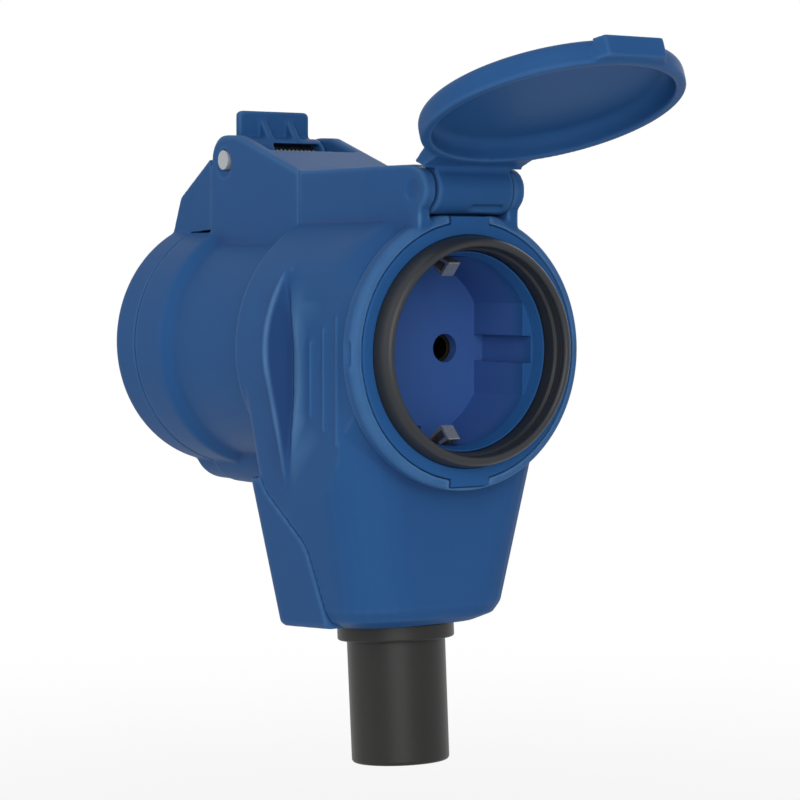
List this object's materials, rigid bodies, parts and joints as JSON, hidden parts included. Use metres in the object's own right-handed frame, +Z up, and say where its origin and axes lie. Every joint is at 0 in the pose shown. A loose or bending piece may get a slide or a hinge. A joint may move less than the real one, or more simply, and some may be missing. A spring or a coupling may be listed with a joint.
{
  "type": "angled pin and sleeve coupler",
  "caption": "Angled pin and sleeve coupler with a sprung lid over its coupling mouth, a round outlet under a flap lid in front and a rubber cable boot below.",
  "frame": {"origin": "on the outlet axis, in the front face of the ring", "axes": "+Y from the outlet back to the coupling mouth, +Z up, +X to the right seen from the front"},
  "size_m": [0.061, 0.1562, 0.1516],
  "materials": {
    "housing_blue": "satin moulded",
    "insert_navy": "satin moulded",
    "rubber_black": "soft matt",
    "plated_steel": "bright plated",
    "contact_brass": "bright",
    "carrier_grey": "satin moulded"
  },
  "bodies": {
    "coupler": {"front_housing": "housing_blue", "rear_housing": "housing_blue", "housing_screws": "plated_steel", "outlet_insert": "insert_navy", "outlet_seal": "rubber_black", "earth_bracket": "plated_steel", "outlet_line_contact": "contact_brass", "outlet_neutral_contact": "contact_brass", "outlet_lid_pin": "plated_steel", "rear_lid_pin": "plated_steel", "rear_lid_spring": "plated_steel", "contact_carrier": "carrier_grey", "carrier_screws": "plated_steel", "line_sleeve": "contact_brass", "neutral_sleeve": "contact_brass", "earth_sleeve": "contact_brass", "terminal_screws": "plated_steel", "line_busbar": "contact_brass", "neutral_busbar": "contact_brass", "earth_busbar": "contact_brass", "coupling_seal": "rubber_black", "cable_boot": "rubber_black", "cord_clamp": "carrier_grey", "clamp_screws": "plated_steel"},
    "flap_lid": {"outlet_lid": "housing_blue"},
    "spring_lid": {"rear_lid": "housing_blue", "rear_lid_gasket": "rubber_black"}
  },
  "joints": [
    {"name": "outlet_lid_hinge", "type": "hinge", "parent": "coupler", "child": "flap_lid", "pos_m": [0, 0.0026, 0.0335], "axis": [1, 0, 0], "range_deg": [-12, 109.5]},
    {"name": "rear_lid_hinge", "type": "hinge", "parent": "coupler", "child": "spring_lid", "pos_m": [0, 0.0764, 0.0418], "axis": [1, 0, 0], "range_deg": [0, 95], "stiffness_Nm_per_rad": 0.02, "springref_deg": -57.3}
  ]
}
